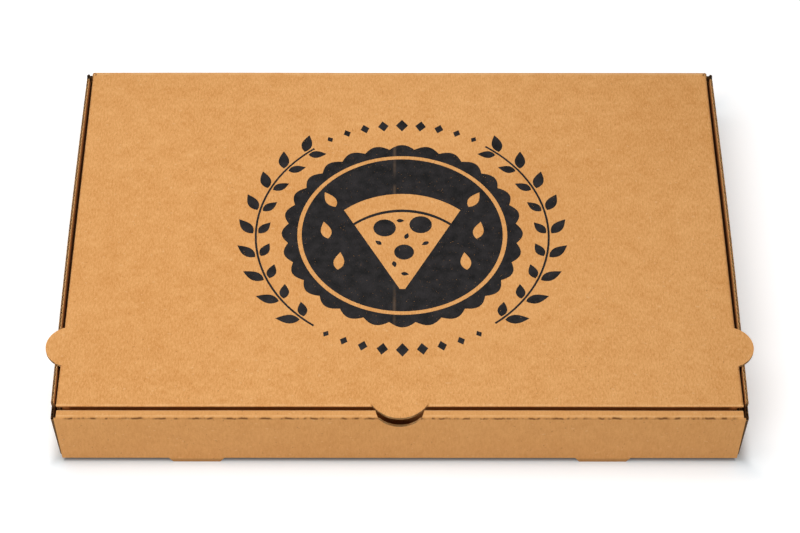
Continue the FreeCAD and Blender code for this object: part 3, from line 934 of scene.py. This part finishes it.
def tray_shade(paper, color, waver):
    """Painted shade in the buckled line under the rim, on the front corners, rear tips and
    feet, and on the walls' inside.
    """
    # the buckled line under the rim: a real buckle, darkened with painted shade in its groove
    line = paper.near(paper.z + 0.0014 * waver, TOP - 1.05, 0.85)
    line = line * paper.falling(paper.y, FRONT + 0.9, FRONT + 1.3)
    line = line * paper.falling(paper.aside, 189, 194)
    dash = 0.25 + 0.75 * paper.step(paper.noise(150.0, (1.0, 0.0, 0.0), 3.0), 0.45, 0.56)
    color = paper.mix(line * dash, color, (0.15, 0.055, 0.012, 1))
    # painted shade in the front corners, beside the front wall's edges
    corner = paper.band(paper.y, FRONT + 1.55, FRONT + 1.7, FRONT + 2.6, FRONT + 4.0)
    corner = corner * paper.rising(paper.aside, wall_edge - 2.6, wall_edge - 1.6)
    corner = corner * paper.falling(paper.z, TOP - 2.0, TOP - 1.6)
    color = paper.mix(0.92 * corner, color, (0.08, 0.04, 0.015, 1))
    # painted shade on the inside of the walls' tops, in the narrow gap beside the lid
    inside = paper.band(wall_face(paper) - paper.aside, 0.7, 1.1, 3.0, 4.0)
    inside = inside * paper.band(TOP * MM - paper.z, 2.5, 7.5, 13.0, 22.0)
    inside = inside * paper.rising(paper.y, FRONT + 3.0, FRONT + 4.0)
    color = paper.mix(0.86 * inside, color, (0.03, 0.009, 0.002, 1))
    # painted shade on the rear tips of the side walls at the hinge
    color = paper.mix(0.9 * rear_tip_shade(paper, 195.5), color, PAINTED_SHADE)
    # painted shade on the feet below the floor
    foot = paper.falling(paper.z, UNDER - 1.0, UNDER + 1.0)
    return paper.mix(0.5 * foot, color, (0.26, 0.14, 0.06, 1))


def lid_shade(paper, color, waver):
    """Painted shade on the board just below the front crease, but not at its ends."""
    # painted shade in the narrow gap below the lid's front crease
    band = paper.rising(paper.z, TOP - 7.0, TOP - 4.0)
    band = band * paper.falling(paper.z + 0.0006 * waver, TOP - 1.9, TOP - 1.0)
    lean = paper.y + 0.2 * (paper.z - TOP * MM)
    band = band * paper.falling(lean, LID_FRONT + 1.2, LID_FRONT + 1.5)
    band = band * paper.falling(paper.aside + 0.004 * waver, 188.5, 191.0)
    return paper.mix(0.72 * band, color, (0.09, 0.03, 0.006, 1))


# the crowns below place the painted highlights along the creases
tray_kraft = kraft("kraft_tray", 0.66, [(FRONT + 1.6, 0.7, TOP - 0.5, 0),
                                        (ROLL - 0.7, 0.7, TOP - 1.0, 0)], tray_shade)
lid_kraft = kraft("kraft_lid", 1.3, [(LID_FRONT + 1.1, 0.7, TOP - 0.5, 16.5),
                                     (BACK - 2.0, 1.2, TOP - 0.5, 0)], lid_shade)
print("liner materials", tray_kraft.material.name, lid_kraft.material.name)

# %% [markdown]
# ## Cut edges and flutes
# The die leaves a paler, woolly edge. Painted shade darkens it and the medium at
# the front corners and the rear tips, and the edge is darker in broken dashes along
# the outer edge of the side walls. The wavy medium is recycled paper, greyer and
# darker than the liners.

# %% Cut edges and fluting medium
cut = Finish("cut_edge", 0.9, 0.15)
wool = cut.noise(900.0, detail=3.0)
cut_color = cut.mix(wool, (0.62, 0.31, 0.10, 1), (0.95, 0.57, 0.24, 1))
# darker in broken dashes along the outer edge of the side walls' rims
outer = cut.rising(cut.aside - wall_face(cut), -0.55, -0.3)
outer = outer * cut.rising(cut.z, TOP - 2.6, TOP - 2.2)
breakup = cut.step(cut.noise(190.0, (0.0, 1.0, 0.0), 3.0), 0.42, 0.54)
cut_color = cut.mix(outer * (0.35 + 0.55 * breakup), cut_color, (0.10, 0.045, 0.015, 1))
# painted shade on the cut edges at the front corners and the rear tips
corner_shade = cut.maths("MAXIMUM", front_corner_shade(cut), rear_tip_shade(cut, 197.4))
cut_color = cut.mix(0.95 * corner_shade, cut_color, PAINTED_SHADE)
cut.wire(cut.shader, {"Base Color": cut_color, "Normal": cut.bump(wool, 0.0001, 0.6)})

medium = Finish("fluting_medium", 0.9, 0.15)
pulp = medium.noise(500.0, FIBRES, 3.0)
medium_color = medium.mix(pulp, (0.30, 0.17, 0.07, 1), (0.50, 0.31, 0.145, 1))
# painted shade on the medium at the front corners and the rear tips
corner_shade = medium.maths("MAXIMUM", front_corner_shade(medium), rear_tip_shade(medium, 197.4))
medium_color = medium.mix(0.95 * corner_shade, medium_color, PAINTED_SHADE)
medium.wire(medium.shader, {"Base Color": medium_color,
                            "Normal": medium.bump(pulp, 0.00008, 0.5)})
print("nodes of the cut edge", len(cut.tree.nodes), "and of the medium", len(medium.tree.nodes))

# %% [markdown]
# ## Ink
# Water-based ink on bare kraft dries patchy: fibres stand through it as pinholes,
# and a worn place on the roller leaves a faint pale streak along the web.

# %% Ink
ink = Finish("dark_ink", 0.68, 0.22)
patch = 0.5 + 1.7 * (ink.noise(160.0, detail=3.0) - 0.5)
patch = patch + 1.1 * (ink.noise(700.0, FIBRES, 2.0) - 0.5)
streak = ink.near(ink.x, -3.2, 1.5) * ink.step(ink.noise(60.0, (0.2, 1.0, 1.0)), 0.35, 0.6)
ink_color = ink.mix(patch, (0.002, 0.002, 0.002, 1), (0.028, 0.024, 0.025, 1))
ink_color = ink.mix(0.5 * streak, ink_color, (0.16, 0.10, 0.06, 1))
pinhole = ink.step(ink.noise(1000.0, (1.5, 1.0, 1.0), 1.0), 0.70, 0.78)
ink.wire(ink.shader, {"Base Color": ink_color, "Alpha": 1 - 0.8 * pinhole,
                      "Normal": ink.bump(patch, 0.00005, 0.4)})

for item, liner in ((tray_liners, tray_kraft), (lid_liners, lid_kraft), (hinge, lid_kraft),
                    (tray_flutes, medium), (lid_flutes, medium)):
    item.data.materials.append(liner.material)
    item.data.materials.append(cut.material)
lid_print.data.materials.append(ink.material)
print("materials", [material.name for material in bpy.data.materials])

# %% [markdown]
# ## Floor and light
# The box rests on its two feet and its back edge, so the floor is tilted by that
# little. It looks white to the camera and throws back less light than it shows, and
# close to the box it keeps a soft shadow, partly cast by the lamps and partly painted.
# One strong sun would give hard edges; here a soft box hangs over the lid, a low
# wide card lights the front wall without shining into the narrow gaps, and the
# pale room does the rest.

# %% The floor
SHADE_X, SHADE_Y = 201.0, 138.0        # half the size of the floor that the box shades
bpy.ops.mesh.primitive_plane_add(size=8, location=(0, 0, 0))
floor = bpy.context.object
floor.name = "floor"
ground = Finish("floor_white", 0.9, 0.0)
rays = 0.0
for kind in ("Is Camera Ray", "Is Glossy Ray", "Is Transmission Ray"):
    rays = ground.maths("MAXIMUM", rays, ground.node("ShaderNodeLightPath", {}, {}, kind))
beyond_side = ground.aside - SHADE_X * MM
beyond_front = ground.maths("ABSOLUTE", ground.y) - SHADE_Y * MM
beyond = ground.maths("MAXIMUM", beyond_side, beyond_front)
# the camera-only glow that whitens the floor fades out close to the box, so the shadow there
# stays
open_floor = ground.rising(beyond, -4.0, 6.0)
# painted contact shadow: under the box's edges the floor looks dark to the camera
contact = ground.maths("MAXIMUM", ground.rising(beyond_front, -2.5, 0.8),
                       ground.rising(beyond_side, -6.5, -4.5))
away = ground.rising(beyond, 2.0, 25.0)
# painted: near the box the floor is tinted cooler for the camera, against the warm light the
# box throws on it
seen = ground.mix(away, (0.92, 0.97, 0.99, 1), (0.97, 0.97, 0.97, 1))
seen = ground.mix(contact, (0.25, 0.26, 0.27, 1), seen)
sideways = ground.rising(beyond_side - beyond_front, -4.0, 6.0)
glow = ground.mix(sideways, (0.28, 0.30, 0.32, 1), (0.37, 0.38, 0.39, 1))
glow = ground.mix(away, glow, (0.40, 0.40, 0.40, 1))
ground.wire(ground.shader, {
    "Base Color": ground.mix(rays, (0.80, 0.80, 0.80, 1), seen),
    "Emission Color": ground.mix(rays * open_floor, (0, 0, 0, 1), glow),
    "Emission Strength": 1.0})
floor.data.materials.append(ground.material)
floor.rotation_euler.x = math.atan2(UNDER, BACK - FRONT)
floor.location.z = UNDER * MM / 2
print("floor tilted by", round(math.degrees(floor.rotation_euler.x), 2), "degrees")

# %% Room light and lamps
world = bpy.data.worlds.new("room")
bpy.context.scene.world = world
world.use_nodes = True
world.node_tree.nodes["Background"].inputs[0].default_value = (1, 1, 1, 1)
world.node_tree.nodes["Background"].inputs[1].default_value = 0.30


def add_lamp(name, watts, size, place, target):
    """A square soft light that faces a target."""
    light = bpy.data.lights.new(name, "AREA")
    light.energy = watts
    light.size = size
    lamp = bpy.data.objects.new(name, light)
    bpy.context.scene.collection.objects.link(lamp)
    lamp.location = place
    aim = Vector(target) - lamp.location
    lamp.rotation_euler = aim.to_track_quat("-Z", "Y").to_euler()


add_lamp("soft_box", 2.6, 0.58, (-0.1, -0.01, 0.62), (-0.02, 0, 0))
add_lamp("front_card", 12.5, 1.4, (-0.8, -1.75, 0.85), (0, 0, 0))
print("lamps", [lamp.name for lamp in bpy.data.lights])

# %% [markdown]
# ## Camera
# The view was solved from the straight edges of the box: a long lens looking down
# at half a right angle.

# %% Camera
PICTURE_WIDTH = 800                    # pixels
FOCAL_LENGTH = 2430                    # in the same pixels
SENSOR = 36                            # width of the film in millimetres
EYE = (-0.0017, -0.96375, 1.1575)
PITCH, YAW, ROLL_ANGLE = (math.radians(a) for a in (49.915, 0.113, 0.119))
ahead = Vector((math.sin(YAW) * math.cos(PITCH), math.cos(YAW) * math.cos(PITCH),
                -math.sin(PITCH)))
right = Vector((math.cos(YAW), -math.sin(YAW), 0))
up = right.cross(ahead)
across = math.cos(ROLL_ANGLE) * right + math.sin(ROLL_ANGLE) * up
upward = -math.sin(ROLL_ANGLE) * right + math.cos(ROLL_ANGLE) * up
camera_data = bpy.data.cameras.new("camera")
camera_data.sensor_width = SENSOR
camera_data.lens = SENSOR * FOCAL_LENGTH / PICTURE_WIDTH
camera = bpy.data.objects.new("camera", camera_data)
bpy.context.scene.collection.objects.link(camera)
camera.matrix_world = Matrix.Translation(EYE) @ Matrix(
    (across, upward, -ahead)).transposed().to_4x4()
bpy.context.scene.camera = camera
bpy.context.scene.view_settings.view_transform = "Standard"
print("lens", round(camera_data.lens, 1), "mm")
